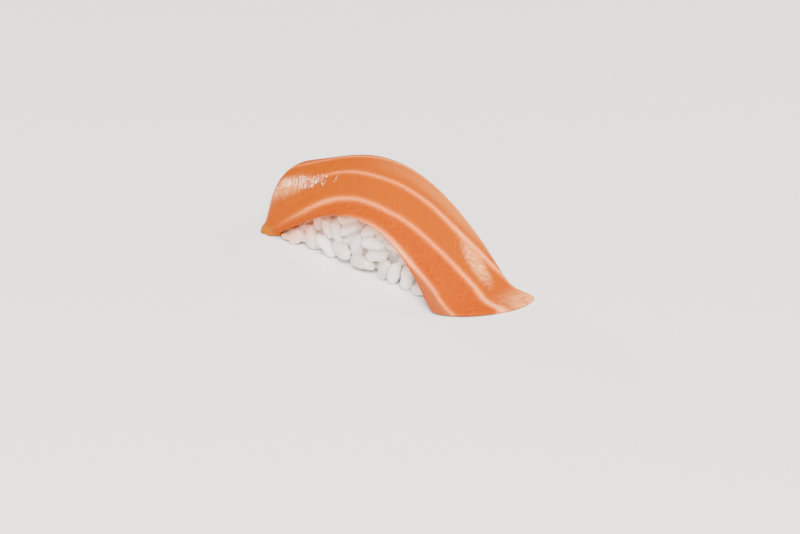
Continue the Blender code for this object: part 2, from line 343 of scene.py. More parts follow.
def rail_points(rail, along):
    """x and z of a rail at fractions of its length. It ends level, at the tail's edge."""
    path = np.linspace(0.0, rail["length"], RAIL_POINTS)
    heading = np.full(path.shape, -sum(turn for _, _, turn in rail["bends"]))
    for middle, span, turn in rail["bends"]:
        heading = heading + turn * smooth((path - middle) / span + 0.5)
    heading = np.radians((heading[1:] + heading[:-1]) / 2.0)
    step = path[1]
    x = np.concatenate([[0.0], np.cumsum(np.cos(heading) * step)])
    z = np.concatenate([[0.0], np.cumsum(np.sin(heading) * step)])
    x += rail["end_x"] - x[-1]
    z += TAIL_Z - z[-1]
    reached = (along - rail["lag"] * along * (1.0 - along)) * rail["length"]
    return np.interp(reached, path, x), np.interp(reached, path, z)


def blended(values, along):
    """A value in the middle of the slice, with what is added towards the toe and the tail."""
    middle, at_toe, tail_glow = values
    toe = smooth((TOE_BLEND - along) / TOE_BLEND)
    tail = smooth((along - 1.0 + TAIL_BLEND) / TAIL_BLEND)
    return middle + at_toe * toe + tail_glow * tail


def outer_face(along, across):
    """Points of the slice's outer face on a grid, near edge to far edge at each station."""
    crown_x, crown_z = rail_points(CROWN_RAIL, along)
    near_x, near_z = rail_points(NEAR_RAIL, along)
    far_x, far_z = rail_points(FAR_RAIL, along)
    crown_y = blended(CROWN_Y, along)
    near_y = blended(NEAR_Y, along)
    far_y = blended(FAR_Y, along)
    near_round = blended(NEAR_ROUNDNESS, along)
    far_round = blended(FAR_ROUNDNESS, along)
    sweep = np.linspace(0.0, math.pi, SECTION_POINTS)
    near_half = sweep <= math.pi / 2.0
    face = np.zeros((len(along), len(across), 3))
    for i in range(len(along)):
        power = 2.0 / np.where(near_half, near_round[i], far_round[i])
        out = np.abs(np.cos(sweep)) ** power
        rise = np.abs(np.sin(sweep)) ** power
        edge_x = np.where(near_half, near_x[i], far_x[i])
        edge_y = np.where(near_half, near_y[i], far_y[i])
        edge_z = np.where(near_half, near_z[i], far_z[i])
        section = np.stack([
            edge_x + (crown_x[i] - edge_x) * rise,
            crown_y[i] + (edge_y - crown_y[i]) * out,
            edge_z + (crown_z[i] - edge_z) * rise,
        ], axis=1)
        steps = np.linalg.norm(np.diff(section, axis=0), axis=1)
        reach = np.concatenate([[0.0], np.cumsum(steps)])
        for axis in range(3):
            face[i, :, axis] = np.interp(across * reach[-1], reach, section[:, axis])
    return face


def face_normals(face):
    """Outward normals of a grid of points."""
    normal = np.cross(np.gradient(face, axis=0), np.gradient(face, axis=1))
    return normal / np.linalg.norm(normal, axis=2, keepdims=True)


def eased(grid, rounds, margin):
    """A grid with its inner points drawn towards their neighbours, so that no tight bend folds."""
    grid = grid.copy()
    kept = slice(margin, -margin)
    for _ in range(rounds):
        around = (grid[:-2, 1:-1] + grid[2:, 1:-1] + grid[1:-1, :-2] + grid[1:-1, 2:]) / 4.0
        last_row = around.shape[0] + 1 - margin
        last_column = around.shape[1] + 1 - margin
        inner = around[margin - 1:last_row, margin - 1:last_column]
        grid[kept, kept] = 0.5 * (grid[kept, kept] + inner)
    return grid


def slice_measures(along, across, face):
    """Thickness, rounding at the edges, and distance in millimetres along and across the slice."""
    toe = smooth((TOE_TAPER - along) / TOE_TAPER)
    tail = smooth((along - 1.0 + TAIL_TAPER) / TAIL_TAPER)
    thick = SLICE_THICKNESS - (SLICE_THICKNESS - TOE_THICKNESS) * toe
    thick = thick - (SLICE_THICKNESS - TAIL_THICKNESS) * tail
    thick = np.repeat(thick[:, None], len(across), axis=1)
    length = np.linalg.norm(np.diff(face, axis=0), axis=2).sum(axis=0)[None, :]
    width = np.linalg.norm(np.diff(face, axis=1), axis=2).sum(axis=1)[:, None]
    to_end = np.minimum(along, 1.0 - along)[:, None] * length
    to_edge = np.minimum(across, 1.0 - across)[None, :] * width
    end_inset = np.clip(1.0 - to_end / EDGE_ROUNDING, 0.0, 1.0)
    edge_inset = np.clip(1.0 - to_edge / EDGE_ROUNDING, 0.0, 1.0)
    inset = np.clip(np.hypot(end_inset, edge_inset), 0.0, 1.0)
    inset[1:-1, 1:-1] = np.minimum(inset[1:-1, 1:-1], MOST_INSET)
    rounding = 1.0 - np.sqrt(1.0 - inset ** 2)
    return thick, rounding, along[:, None] * length, across[None, :] * width


def spread_fractions(count, span, edge_points):
    """Fractions from 0 to 1, evenly spread but for some close to each end, where an edge rounds."""
    turn = np.arange(edge_points + 1) * math.pi / 2.0 / edge_points
    edge = (1.0 - np.cos(turn)) * EDGE_ROUNDING / span
    between = np.linspace(edge[-1], 1.0 - edge[-1], count - 2 * edge_points)[1:-1]
    return np.concatenate([edge, between, 1.0 - edge[::-1]])


def crowded_at_ends(count, span):
    """The solid's own fractions, with two points close to each end."""
    second = EDGE_ROUNDING / span
    first = FIRST_POINT * second
    between = np.linspace(0.0, 1.0, count - 4)[1:-1]
    return np.concatenate([[0.0, first, second], between, [1.0 - second, 1.0 - first, 1.0]])


def solid_faces():
    """Outer face and underside of the slice as the solid has them."""
    along = crowded_at_ends(SLICE_STATIONS, CROWN_RAIL["length"])
    across = crowded_at_ends(SLICE_POINTS_ACROSS, SLICE_WIDTH)
    face = outer_face(along, across)
    normal = face_normals(face)
    thick, rounding, _, _ = slice_measures(along, across, face)
    rim = RIM_PLACE * thick
    outer = face - normal * (rim * rounding)[:, :, None]
    under = face - normal * (thick - (thick - rim) * rounding)[:, :, None]
    under = eased(under, EASE_ROUNDS, EASE_MARGIN)
    outer[:, :, 2] = np.maximum(outer[:, :, 2], LEAST_HEIGHT)
    under[:, :, 2] = np.maximum(under[:, :, 2], 0.0)
    return along, across, outer, under, normal


def resampled(grid, along, across, to_along, to_across):
    """A grid of points read at other fractions along and across."""
    first = np.zeros((len(to_along), len(across), 3))
    for j in range(len(across)):
        for axis in range(3):
            first[:, j, axis] = np.interp(to_along, along, grid[:, j, axis])
    second = np.zeros((len(to_along), len(to_across), 3))
    for i in range(len(to_along)):
        for axis in range(3):
            second[i, :, axis] = np.interp(to_across, across, first[i, :, axis])
    return second


def linear(hex_colour):
    """A colour written as sRGB hex, in the linear values that shaders take."""
    values = [int(hex_colour[i:i + 2], 16) / 255.0 for i in (0, 2, 4)]
    values = [v / 12.92 if v <= 0.04045 else ((v + 0.055) / 1.055) ** 2.4 for v in values]
    return tuple(values) + (1.0,)


def put(tree, kind, inputs=None, **settings):
    """Add a node with its settings. Each input gets a value, or the output that feeds it."""
    made = tree.nodes.new(kind)
    made.location = (200.0 * (len(tree.nodes) % 8), -260.0 * (len(tree.nodes) // 8))
    for name, value in settings.items():
        setattr(made, name, value)
    for name, value in (inputs or {}).items():
        if isinstance(value, bpy.types.NodeSocket):
            tree.links.new(value, made.inputs[name])
        else:
            made.inputs[name].default_value = value
    return made


def field(tree, name):
    """The value that the mesh carries under a name."""
    return put(tree, "ShaderNodeAttribute", attribute_name=name).outputs["Fac"]


def calculate(tree, operation, *values):
    """A sum or the like of one to three values."""
    return put(tree, "ShaderNodeMath", dict(enumerate(values)), operation=operation).outputs[0]


def mixed(tree, amount, first, second):
    """A value between two others."""
    return put(tree, "ShaderNodeMix", {0: amount, 2: first, 3: second}).outputs[0]


def tinted(tree, colour, tint, amount):
    """A colour mixed with another one, which is written as hex."""
    inputs = {0: amount, 6: colour, 7: linear(tint)}
    return put(tree, "ShaderNodeMix", inputs, data_type="RGBA").outputs[2]


def ramp(tree, value, start, end, low=0.0, high=1.0, kind="SMOOTHSTEP"):
    """A value that goes from low to high while another goes from start to end."""
    made = put(tree, "ShaderNodeMapRange", {
        "Value": value,
        "From Min": start,
        "From Max": end,
        "To Min": low,
        "To Max": high,
    }, interpolation_type=kind)
    return made.outputs[0]


def pushed(tree, noise, reach):
    """A push from a noise's colour, which is half the reach each way at most."""
    middle = (0.5, 0.5, 0.5)
    inputs = {0: noise.outputs["Color"], 1: middle}
    push = put(tree, "ShaderNodeVectorMath", inputs, operation="SUBTRACT").outputs[0]
    return put(tree, "ShaderNodeVectorMath", {0: push, "Scale": reach}, operation="SCALE").outputs[0]


def drawn_out(tree, place, turn, size):
    """Noise drawn out along a direction, in degrees from the slice's length, to a size."""
    slanted = put(tree, "ShaderNodeMapping", {
        "Vector": place,
        "Rotation": (0.0, 0.0, math.radians(turn)),
        "Scale": size + (1.0,),
    }, vector_type="TEXTURE")
    made = put(tree, "ShaderNodeTexNoise", {
        "Vector": slanted.outputs[0],
        "Scale": 1.0,
        "Detail": 1.0,
        "Roughness": 0.4,
    })
    return made.outputs["Fac"]


def new_material(name):
    """An empty material with its tree."""
    material = bpy.data.materials.new(name)
    material.use_nodes = True
    material.node_tree.nodes.clear()
    return material, material.node_tree


def salmon_flesh():
    """Raw salmon: moist orange muscle in fine fibres, with pale fat lines, under a film of water."""
    material, tree = new_material("raw_salmon")
    place = put(tree, "ShaderNodeUVMap", uv_map="slice_mm").outputs[0]
    high = field(tree, "high_band")
    near_tail = field(tree, "near_tail")

    # fibres waver, and change direction at the low fat line and towards the tail
    waver = put(tree, "ShaderNodeTexNoise", {"Vector": place, "Scale": 0.12, "Detail": 1.0})
    inputs = {0: place, 1: pushed(tree, waver, FIBRE_WAVER)}
    bent = put(tree, "ShaderNodeVectorMath", inputs, operation="ADD").outputs[0]
    low_fibres = drawn_out(tree, bent, FIBRE_TURN_LOW, FIBRE_SIZE)
    high_fibres = drawn_out(tree, bent, FIBRE_TURN_HIGH, FIBRE_SIZE)
    tail_fibres = drawn_out(tree, bent, FIBRE_TURN_TAIL, FIBRE_SIZE)
    threads = mixed(tree, near_tail, high_fibres, tail_fibres)
    threads = mixed(tree, high, low_fibres, threads)
    fibre = ramp(tree, threads, *FIBRE_RANGE, kind="LINEAR")

    # flesh: redder below the low fat line, in faint patches, a little paler along fibres
    patch = put(tree, "ShaderNodeTexNoise", {"Vector": place, "Scale": 0.06, "Detail": 1.0})
    patch = mixed(tree, FLESH_PATCHES, patch.outputs["Fac"], high)
    colour = tinted(tree, linear(FLESH_LOW), FLESH_HIGH, patch)
    colour = tinted(tree, colour, FIBRE_PALE, calculate(tree, "MULTIPLY", fibre, FIBRE_PALENESS))

    # below that line there are dark fibres too
    dark = ramp(tree, low_fibres, *DARK_FIBRE_RANGE, high=DARK_FIBRE_DEPTH)
    low = calculate(tree, "SUBTRACT", 1.0, high)
    colour = tinted(tree, colour, FIBRE_DARK, calculate(tree, "MULTIPLY", dark, low))

    # fat lines, with a soft ragged edge and a faint halo
    ragged = put(tree, "ShaderNodeTexNoise", {"Vector": place, "Scale": 1.1, "Detail": 3.0})
    shift = -FAT_RAGGEDNESS / 2.0
    ragged = calculate(tree, "MULTIPLY_ADD", ragged.outputs["Fac"], FAT_RAGGEDNESS, shift)
    edge = calculate(tree, "ADD", field(tree, "fat_edge"), ragged)
    for tint, start, end, most in FAT_TINTS:
        colour = tinted(tree, colour, tint, ramp(tree, edge, start, end, high=most))

    # painted shade: edges are darker by the floor, and the near edge by the tail is darker brown;
    # the toe's cut side is ochre
    for name, tint in (("foot", FOOT_SHADE), ("cut", CUT_OCHRE), ("tail_edge_shade", TAIL_EDGE_SHADE)):
        colour = tinted(tree, colour, tint, field(tree, name))

    # painted highlights: pale places streaked along the fibres, and a painted glow at the tail's far
    # corner
    streaks = ramp(tree, threads, *STREAK_RANGE, low=STREAK_LEAST, kind="LINEAR")
    pale = calculate(tree, "MULTIPLY", streaks, field(tree, "pale"))
    colour = tinted(tree, colour, STREAKED_HIGHLIGHT, pale)

    # painted glow: the thin far edge is made lighter, as light coming through it would make it
    colour = tinted(tree, colour, PAINTED_THIN_GLOW, field(tree, "thin"))

    # relief: fibres, and a film of water that breaks up its own shine
    film = drawn_out(tree, place, FIBRE_TURN_HIGH, FILM_SIZE)
    film = mixed(tree, near_tail, film, drawn_out(tree, place, FIBRE_TURN_TAIL, FILM_SIZE_TAIL))
    broken = ramp(tree, film, *FILM_RANGE, low=FILM_LEAST)
    wet = calculate(tree, "MULTIPLY", field(tree, "wet"), broken)
    flesh_relief = put(tree, "ShaderNodeBump", {
        "Height": fibre,
        "Distance": FIBRE_RELIEF * MM,
        "Strength": 1.0,
    })
    film_relief = put(tree, "ShaderNodeBump", {
        "Height": film,
        "Distance": FILM_RELIEF * MM,
        "Strength": 1.0,
        "Normal": flesh_relief.outputs[0],
    })
    shader = put(tree, "ShaderNodeBsdfPrincipled", {
        "Base Color": colour,
        "Roughness": 0.42,
        "IOR": 1.34,
        "Specular IOR Level": 0.0,
        "Subsurface Weight": 0.35,
        "Subsurface Radius": (1.0, 0.35, 0.12),
        "Subsurface Scale": 2.0 * MM,
        "Coat Weight": wet,
        "Coat Roughness": 0.05,
        "Coat IOR": 1.33,
        "Normal": flesh_relief.outputs[0],
        "Coat Normal": film_relief.outputs[0],
    })
    put(tree, "ShaderNodeOutputMaterial", {"Surface": shader.outputs[0]})
    return material


def cooked_rice():
    """Cooked short-grain rice: swollen, milky and translucent, with a thin sticky film."""
    material, tree = new_material("cooked_rice")
    place = put(tree, "ShaderNodeTexCoord").outputs["Object"]
    cloud = put(tree, "ShaderNodeTexNoise", {"Vector": place, "Scale": 350.0, "Detail": 3.0})
    cloud = ramp(tree, cloud.outputs["Fac"], *RICE_CLOUDS, kind="LINEAR")
    milky = mixed(tree, RICE_CLOUDINESS, field(tree, "tone"), cloud)
    colour = tinted(tree, linear(RICE_CLEAR), RICE_MILKY, milky)
    # painted shade: the rice is darker in the creases between grains
    crease = ramp(tree, field(tree, "crevice"), *CREASE_SHADE_RANGE)
    colour = tinted(tree, colour, RICE_CREASE_SHADE, crease)
    # painted bounce light: the rice takes the fish's colour where it lies close to the slice
    colour = tinted(tree, colour, RICE_FISH_BOUNCE, field(tree, "fish_bounce"))
    skin = put(tree, "ShaderNodeTexNoise", {"Vector": place, "Scale": 900.0, "Detail": 3.0})
    relief = put(tree, "ShaderNodeBump", {
        "Height": skin.outputs["Fac"],
        "Distance": 0.08 * MM,
        "Strength": 1.0,
    })
    shader = put(tree, "ShaderNodeBsdfPrincipled", {
        "Base Color": colour,
        "Roughness": 0.3,
        "IOR": 1.4,
        "Subsurface Weight": 0.5,
        "Subsurface Radius": (1.0, 0.85, 0.7),
        "Subsurface Scale": 1.0 * MM,
        "Coat Weight": 0.4,
        "Coat Roughness": 0.12,
        "Coat IOR": 1.33,
        "Normal": relief.outputs[0],
    })
    put(tree, "ShaderNodeOutputMaterial", {"Surface": shader.outputs[0]})
    return material


def add_object(name, data):
    """A new object in the scene."""
    made = bpy.data.objects.new(name, data)
    bpy.context.scene.collection.objects.link(made)
    return made


def finished(name, mesh, node_name):
    """A finished piece that stands for its CAD node."""
    piece = add_object(name, mesh)
    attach(piece, "root")
    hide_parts(node_name)
    return piece


def carry(mesh, name, values):
    """Give each point of a mesh a value under a name."""
    values = np.asarray(values, np.float32)
    mesh.attributes.new(name, "FLOAT", "POINT").data.foreach_set("value", values)


def fat_edge_field(along, along_mm, across_mm, across):
    """Distance in millimetres from the edge of the nearest fat line, below 0 inside it."""
    width = across_mm[:, -1]
    length = along_mm[-1].mean()
    nearest = np.full(across_mm.shape, FAR_FROM_FAT)
    for places, half_widths in FAT_LINES:
        place = np.interp(along, LINE_STATIONS, places)
        half = np.interp(along, LINE_STATIONS, half_widths)
        for _ in range(LINE_EASE_ROUNDS):
            place[1:-1] = (place[:-2] + 2.0 * place[1:-1] + place[2:]) / 4.0
        slope = np.gradient(place * width, along * length)
        apart = np.abs(across[None, :] - place[:, None]) * width[:, None]
        apart = apart / np.sqrt(1.0 + slope ** 2)[:, None]
        nearest = np.minimum(nearest, apart - half[:, None])
    return nearest


def past_line(along, across, line):
    """How far across each point lies past one of the fat lines, as a fraction."""
    return across - np.interp(along, LINE_STATIONS, FAT_LINES[line][0])[:, None]


def past(value, start, over):
    """Ease from 0 at a start to 1."""
    return smooth((value - start) / over)


def places_field(places, along, across):
    """How much of something is at each point of the slice, from the places where it is most."""
    most = np.zeros((len(along), len(across)))
    for place_along, place_across, reach_along, reach_across, depth in places:
        away = np.hypot(
            (along[:, None] - place_along) / reach_along,
            (across[None, :] - place_across) / reach_across,
        )
        most = np.maximum(most, depth * smooth(PLACE_REACH - away))
    return most


def set_toe_down(outer, under, along, across_mm):
    """Bring the toe's near corner down to the floor and tuck it in.

    It returns how much of the toe there is at each station.
    """
    in_toe = smooth((TOE_FOOT_END - along) / TOE_FOOT_FADE)[:, None]
    tuck = TOE_TUCK * past(along, TOE_TUCK_START, TOE_TUCK_FADE)[:, None]
    in_tip = smooth((TOE_TIP_END - along) / TOE_TIP_END)[:, None]
    in_tip = in_tip * smooth(BEYOND_WIDTH - across_mm / TOE_TIP_WIDTH)
    outer[:, :, 2] += in_tip * np.maximum(TOE_TIP_HEIGHT - outer[:, :, 2], 0.0)
    outer[:, :, 0] -= TOE_TIP_OUT * in_tip
    down = in_toe * np.clip(1.0 - across_mm / TOE_FOOT_SIDE, 0.0, 1.0)
    outer[:, :, 2] *= 1.0 - down
    outer[:, :, 1] += tuck * down
    tucked = in_toe * np.clip(1.0 - across_mm / TOE_TUCK_WIDTH, 0.0, 1.0)
    under[:, :, 1] += tuck * tucked
    under[:, :, 2] *= 1.0 - in_toe * np.clip(BEYOND_WIDTH - across_mm / TOE_TUCK_WIDTH, 0.0, 1.0)
    outer[:, :, 2] = np.maximum(outer[:, :, 2], LEAST_HEIGHT)
    under[:, :, 2] = np.maximum(under[:, :, 2], UNDER_LEAST_HEIGHT)
    return in_toe


def both_faces(top, below):
    """A row for each point of the slice: the outer face, then the underside within its rim."""
    inner = below[1:-1, 1:-1]
    rows = [grid.reshape(-1, *grid.shape[2:]) for grid in (top, inner)]
    return np.concatenate(rows)


def slice_quads(rows, columns):
    """Corners of the slice's faces. Outer face and underside share the points of their rim."""
    top = np.arange(rows * columns).reshape(rows, columns)
    below = top.copy()
    inner = np.arange((rows - 2) * (columns - 2)).reshape(rows - 2, columns - 2)
    below[1:-1, 1:-1] = rows * columns + inner
    quads = []
    for grid in (top, below):
        corners = (grid[:-1, :-1], grid[1:, :-1], grid[1:, 1:], grid[:-1, 1:])
        quads.append(np.stack(corners, axis=-1).reshape(-1, 4))
    return np.concatenate([quads[0], quads[1][:, ::-1]])


def slice_places(along, across, across_mm, outer, in_toe):
    """What the slice's material needs at each point of the outer face."""
    tail_glow = past(along, *TAIL_GLOW_ALONG)[:, None] * past(across, *TAIL_GLOW_ACROSS)
    past_high = past_line(along, across, HIGH_LINE)
    thin = past(along, *THIN_ALONG)[:, None] * past(past_high, *THIN_PAST_LINE)
    thin = thin * (1.0 - THIN_RIM_LOSS * past(across, *THIN_RIM))
    past_near = past_line(along, across, NEAR_LINE)
    before_line = smooth(TAIL_EDGE_SHADE_LINE_MIDDLE - past_near / TAIL_EDGE_SHADE_LINE_FADE)
    near_tail = past(along, *FIBRES_TURN_ALONG)[:, None]
    return {
        # painted glow along the thin far edge
        "thin": THIN_DEPTH * thin,
        # painted shade where the flesh comes down to the floor
        "foot": FOOT_SHADE_DEPTH * smooth(1.0 - outer[:, :, 2] / FOOT_SHADE_HEIGHT),
        "cut": CUT_DEPTH * in_toe * smooth((CUT_WIDTH - across_mm) / CUT_FADE),
        "wet": DRY_FILM + (1.0 - DRY_FILM) * places_field(WET_PLACES, along, across),
        # painted highlights, and a painted glow at the tail's thin far corner
        "pale": np.maximum(places_field(PAINTED_HIGHLIGHT_PLACES, along, across), tail_glow),
        # painted shade along the near edge by the tail
        "tail_edge_shade": TAIL_EDGE_SHADE_DEPTH * before_line * past(along, *TAIL_EDGE_SHADE_ALONG)[:, None],
        "high_band": smooth(past_line(along, across, LOW_LINE) * across_mm[:, -1:] + 0.5),
        "near_tail": np.repeat(near_tail, len(across), axis=1),
    }


def make_slice(shift):
    """The slice that shows: the solid's surface at a finer step, with its fat lines in relief."""
    along = spread_fractions(FINE_STATIONS, CROWN_RAIL["length"], FINE_EDGE_POINTS)
    across = spread_fractions(FINE_POINTS_ACROSS, SLICE_WIDTH, FINE_EDGE_POINTS)
    solid_along, solid_across, _, solid_under, solid_normal = solid_faces()
    face = outer_face(along, across)
    normal = resampled(solid_normal, solid_along, solid_across, along, across)
    normal /= np.linalg.norm(normal, axis=2, keepdims=True)
    thick, rounding, along_mm, across_mm = slice_measures(along, across, face)
    fat_edge = fat_edge_field(along, along_mm, across_mm, across)
    relief = FAT_RELIEF * smooth(0.5 - fat_edge / FAT_RELIEF_FADE) * (1.0 - rounding)
    outer = face - normal * (RIM_PLACE * thick * rounding - relief)[:, :, None]
    under = resampled(solid_under, solid_along, solid_across, along, across)
    under = eased(under, FINE_EASE_ROUNDS, FINE_EASE_MARGIN)
    in_toe = set_toe_down(outer, under, along, across_mm)

    faces = slice_quads(len(along), len(across))
    points = both_faces(outer, under) + shift
    mesh = bpy.data.meshes.new("salmon_slice")
    mesh.from_pydata((points * MM).tolist(), [], faces.tolist())
    carry(mesh, "fat_edge", both_faces(fat_edge, fat_edge))
    for name, values in slice_places(along, across, across_mm, outer, in_toe).items():
        carry(mesh, name, both_faces(values, values))
    flat = np.stack([along_mm, across_mm], axis=-1)
    flat = both_faces(flat, flat)[faces.ravel()].astype(np.float32)
    mesh.uv_layers.new(name="slice_mm").data.foreach_set("uv", flat.ravel())
    mesh.materials.append(salmon_flesh())
    mesh.shade_smooth()
    return finished("salmon_slice", mesh, "salmon")


def grain_shape(length, width, depth):
    """Corners of the solid's plain grain, which say whether a grain clears the slice."""
    points = [(-length / 2.0, 0.0, 0.0)]
    for ring, place in enumerate(GRAIN_RINGS):
        girth = GRAIN_FULLNESS * math.sqrt(1.0 - abs(place) ** GRAIN_BLUNTNESS)
        for side in range(GRAIN_SIDES):
            turn = 2.0 * math.pi * (side + 0.5 * (ring % 2)) / GRAIN_SIDES
            points.append((
                place * length / 2.0,
                girth * width / 2.0 * math.cos(turn),
                girth * depth / 2.0 * math.sin(turn),
            ))
    points.append((length / 2.0, 0.0, 0.0))
    return np.array(points)


def turned_grain(turns, size):
    """Corners of a grain's plain shape as it lies, and half of its spine."""
    turn = np.array(Euler(turns, "XYZ").to_matrix())
    length = PLUMP_LENGTH * size
    width = PLUMP_WIDTH * size
    points = grain_shape(length, width, PLUMP_DEPTH * size) @ turn.T
    return points, turn[:, 0] * (length - width) / 2.0


def spines_apart(start_a, end_a, start_b, end_b):
    """Shortest distance between two short straight lines, from points along both."""
    steps = np.linspace(0.0, 1.0, SPINE_READINGS)[:, None]
    on_a = start_a + (end_a - start_a) * steps
    on_b = start_b + (end_b - start_b) * steps
    return np.linalg.norm(on_a[:, None] - on_b[None], axis=2).min()


def too_close(middle, spine, spines, least):
    """Whether a grain's spine comes closer than allowed to one of those already there."""
    return any(spines_apart(middle - spine, middle + spine, a, b) < least for a, b in spines)


def clears(points, body, shift):
    """Whether points in millimetres stay outside a body and clear of it."""
    for point in points:
        spot = Vector((point + shift) * MM)
        nearest, normal, _, distance = body.find_nearest(spot)
        if distance < PLUMP_CLEAR * MM or (spot - nearest).dot(normal) < 0.0:
            return False
    return True


def first_clear(points, middles, body, shift):
    """The first of the middles where a grain clears the body, or None."""
    for middle in middles:
        if clears(points + middle, body, shift):
            return middle
    return None


def wall_grains(body, shift):
    """Turns, middle and size of each grain on the long walls, as in the solid."""
    kept = []
    for wall, out, rail, first_seed, most_flare in (
        (NEAR_WALL_Y, -1.0, NEAR_RAIL, GRAIN_SEED, FOOT_FLARE),
        (FAR_WALL_Y, 1.0, FAR_RAIL, GRAIN_SEED + FAR_SEED_STEP, 0.0),
    ):
        edge_x, edge_z = rail_points(rail, np.linspace(0.0, 1.0, EDGE_READINGS))
        spines = []
        for layer, (tries, stand_out, packing, first_x, last_x, scale) in enumerate(PLUMP_LAYERS):
            for index in range(tries):
                draw = random.Random(first_seed + LAYER_SEED_STEP * layer + index)
                size = scale * (1.0 + draw.uniform(-GRAIN_SPREAD, GRAIN_SPREAD))
                spin = math.radians(draw.uniform(0.0, 180.0))
                lean = math.radians(draw.uniform(-GRAIN_LEAN, GRAIN_LEAN))
                roll = math.radians(draw.uniform(0.0, 360.0))
                turns = (roll, -spin, lean)
                points, spine = turned_grain(turns, size)
                x = draw.uniform(first_x, last_x)
                z = draw.uniform(0.0, 1.0) * np.interp(x, edge_x, edge_z)
                z = max(z, GRAIN_OFF_FLOOR - points[:, 2].min())
                flare = most_flare * max(0.0, 1.0 - z / FLARE_HEIGHT)
                middles = [
                    np.array([x, wall + out * (stand_out + flare - move), z]) for move in GRAIN_MOVES
                ]
                middle = first_clear(points, middles, body, shift)
                if middle is None or too_close(middle, spine, spines, packing * PLUMP_WIDTH):
                    continue
                spines.append((middle - spine, middle + spine))
                kept.append((turns, middle, size))
    return kept


def end_grains(body, shift):
    """Turns, middle and size of each grain over the bed's end under the tail."""
    along, _, _, under, _ = solid_faces()
    wall = under[along <= CORE_END][-1]
    kept, spines = [], []
    for index in range(END_TRIES):
        draw = random.Random(END_SEED + index)
        size = 1.0 + draw.uniform(-GRAIN_SPREAD, GRAIN_SPREAD)
        spin = math.radians(draw.uniform(-END_SPIN, END_SPIN))
        lean = math.radians(90.0 + draw.uniform(-GRAIN_LEAN, GRAIN_LEAN))
        roll = math.radians(draw.uniform(0.0, 360.0))
        turns = (roll, -spin, lean)
        points, spine = turned_grain(turns, size)
        y = draw.uniform(NEAR_WALL_Y, FAR_WALL_Y)
        z = draw.uniform(0.0, 1.0) * np.interp(y, wall[:, 1], wall[:, 2])
        z = max(z, GRAIN_OFF_FLOOR - points[:, 2].min())
        x = np.interp(y, wall[:, 1], wall[:, 0]) + END_STAND_OUT
        middles = [np.array([x - move, y, z]) for move in GRAIN_MOVES]
        middle = first_clear(points, middles, body, shift)
        if middle is None or too_close(middle, spine, spines, FLOOR_PACKING * (PLUMP_WIDTH * size)):
            continue
        spines.append((middle - spine, middle + spine))
        kept.append((turns, middle, size))
    return kept


def floor_grains():
    """Turns, middle and size of the grains that the bed stands on."""
    kept, spines = [], []
    for index in range(FLOOR_TRIES):
        draw = random.Random(FLOOR_SEED + index)
        size = 1.0 + draw.uniform(-GRAIN_SPREAD, GRAIN_SPREAD)
        turns = tuple(math.radians(draw.uniform(-most, most)) for most in FLOOR_TURNS)
        points, spine = turned_grain(turns, size)
        middle = np.array([
            draw.uniform(BED_START_X + FLOOR_START_GAP, BED_END_X),
            draw.uniform(NEAR_WALL_Y + FLOOR_WALL_GAP, FAR_WALL_Y - FLOOR_WALL_GAP),
            GRAIN_OFF_FLOOR - points[:, 2].min(),
        ])
        if too_close(middle, spine, spines, FLOOR_PACKING * PLUMP_WIDTH):
            continue
        spines.append((middle - spine, middle + spine))
        kept.append((turns, middle, size))
    return kept


def make_core(shift):
    """The bed's own core, which stops short of the floor."""
    along, across, _, under, _ = solid_faces()
    below = under - CORE_GAP * face_normals(under)
    rows = below[(along >= CORE_START) & (along <= CORE_END)]
    from_wall_to_wall = np.linspace(NEAR_WALL_Y, FAR_WALL_Y, CORE_POINTS_ACROSS)
    top = np.array([
        [np.interp(from_wall_to_wall, row[:, 1], row[:, axis]) for axis in range(3)]
        for row in rows
    ]).transpose(0, 2, 1)
    foot = top.copy()
    foot[:, :, 2] = np.minimum(CORE_FOOT, top[:, :, 2] - CORE_LEAST_DEPTH)
    count, columns = top.shape[:2]
    upper = np.arange(count * columns).reshape(count, columns)
    lower = upper + count * columns
    faces = []
    for i in range(count - 1):
        for j in range(columns - 1):
            faces.append((upper[i, j], upper[i + 1, j], upper[i + 1, j + 1], upper[i, j + 1]))
            faces.append((lower[i, j], lower[i, j + 1], lower[i + 1, j + 1], lower[i + 1, j]))
    for i in range(count - 1):
        faces.append((upper[i, 0], lower[i, 0], lower[i + 1, 0], upper[i + 1, 0]))
        faces.append((upper[i, -1], upper[i + 1, -1], lower[i + 1, -1], lower[i, -1]))
    for j in range(columns - 1):
        faces.append((upper[0, j], upper[0, j + 1], lower[0, j + 1], lower[0, j]))
        faces.append((upper[-1, j], lower[-1, j], lower[-1, j + 1], upper[-1, j + 1]))
    mesh = bpy.data.meshes.new("rice_core")
    points = np.concatenate([top.reshape(-1, 3), foot.reshape(-1, 3)]) + shift
    mesh.from_pydata((points * MM).tolist(), [], [tuple(int(k) for k in face) for face in faces])
    return add_object("rice_core", mesh)


